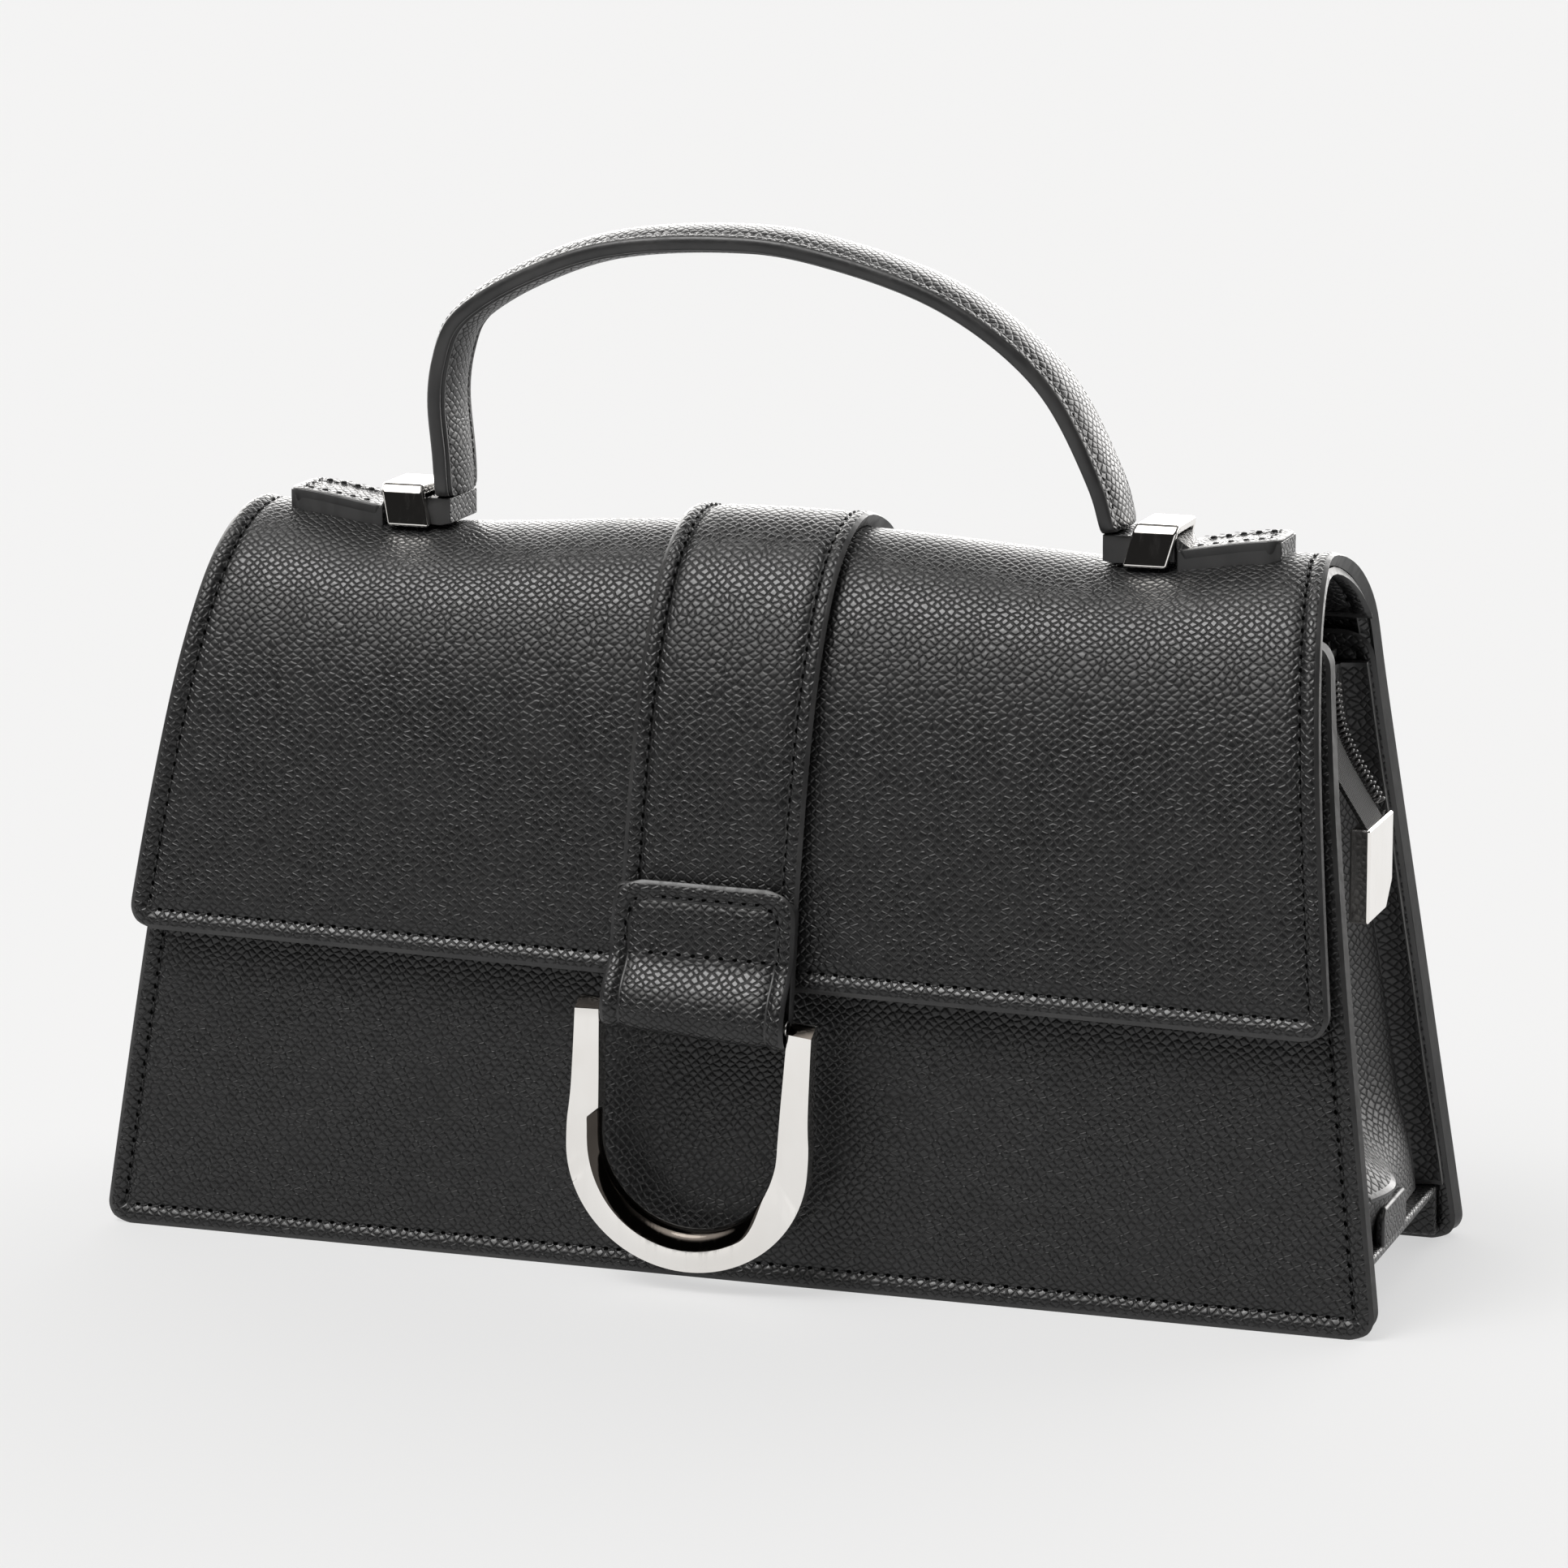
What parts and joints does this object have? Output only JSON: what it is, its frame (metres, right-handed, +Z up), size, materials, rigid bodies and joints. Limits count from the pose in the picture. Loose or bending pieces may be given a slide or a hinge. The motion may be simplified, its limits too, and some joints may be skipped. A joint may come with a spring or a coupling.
{
  "type": "top handle flap bag",
  "caption": "Structured flap bag with an arched top handle, a band and tab that hold a swinging horseshoe ring, and a zipped mouth with a hanging tail.",
  "frame": {"origin": "centre of the bag's box at the level it stands on", "axes": "+X to the right seen from the front, +Y to the back, +Z up"},
  "size_m": [0.2666, 0.0926, 0.2063],
  "materials": {
    "grained_leather": "black cross-grained leather with glossy painted edges",
    "inner_leather": "black grained leather, duller",
    "lining_cloth": "black woven cloth and zip tape",
    "padding": "dark felt filler",
    "zip_coil": "dark nylon coil",
    "polished_nickel": "polished pale nickel"
  },
  "bodies": {
    "bag": {"front_panel": "grained_leather", "front_board": "inner_leather", "back_panel": "grained_leather", "back_board": "inner_leather", "gusset_left": "grained_leather", "gusset_right": "grained_leather", "base_panel": "grained_leather", "base_end_left": "grained_leather", "base_end_right": "grained_leather", "base_board": "inner_leather", "lining_bag": "lining_cloth", "inner_pocket": "lining_cloth", "facing_front": "grained_leather", "facing_back": "grained_leather", "magnet_stud": "polished_nickel", "magnet_washer": "polished_nickel", "zip_end_left": "lining_cloth", "zip_end_right": "lining_cloth"},
    "flap": {"flap_outer": "grained_leather", "flap_lining": "inner_leather", "flap_band": "grained_leather", "ring_tab": "grained_leather", "magnet_cap": "polished_nickel", "handle_end_left": "grained_leather", "handle_end_right": "grained_leather", "handle_loop_left": "polished_nickel", "handle_loop_right": "polished_nickel"},
    "handle": {"handle_cover": "grained_leather", "handle_core": "padding", "handle_underside": "inner_leather"},
    "ring": {"horseshoe_ring": "polished_nickel", "ring_bar": "polished_nickel"},
    "zip_front_leaf": {"zip_tape_front": "lining_cloth", "zip_chain_front": "zip_coil"},
    "zip_back_leaf": {"zip_tape_back": "lining_cloth", "zip_chain_back": "zip_coil"},
    "slider": {"zip_slider": "polished_nickel", "slider_bail": "polished_nickel"},
    "pull": {"zip_pull": "polished_nickel"},
    "tail": {"zip_tail_tape": "lining_cloth", "zip_tail_chain": "zip_coil", "zip_end_cap": "polished_nickel"}
  },
  "joints": [
    {"name": "flap_hinge", "type": "hinge", "parent": "bag", "child": "flap", "pos_m": [0, 0.02956, 0.129], "axis": [-1, 0, 0], "range_deg": [0, 150]},
    {"name": "handle_fold", "type": "hinge", "parent": "flap", "child": "handle", "pos_m": [0, 0.00633, 0.15178], "axis": [1, 0, 0], "range_deg": [-30, 55]},
    {"name": "ring_swing", "type": "hinge", "parent": "flap", "child": "ring", "pos_m": [0, -0.04283, 0.05516], "axis": [-1, 0, 0], "range_deg": [0, 150]},
    {"name": "zip_front_swing", "type": "hinge", "parent": "bag", "child": "zip_front_leaf", "pos_m": [0, -0.00443, 0.124], "axis": [-1, 0, 0], "range_deg": [0, 75]},
    {"name": "zip_back_swing", "type": "hinge", "parent": "bag", "child": "zip_back_leaf", "pos_m": [0, 0.02175, 0.124], "axis": [1, 0, 0], "range_deg": [0, 75]},
    {"name": "slider_travel", "type": "slide", "parent": "bag", "child": "slider", "axis": [1, 0, 0], "range_m": [0, 0.1903]},
    {"name": "pull_swing", "type": "hinge", "parent": "slider", "child": "pull", "pos_m": [-0.09848, 0.0084, 0.1271], "axis": [0, -1, 0], "range_deg": [0, 28]},
    {"name": "tail_swing", "type": "hinge", "parent": "bag", "child": "tail", "pos_m": [0.11118, 0.0084, 0.124], "axis": [0, -1, 0], "range_deg": [0, 90]}
  ]
}
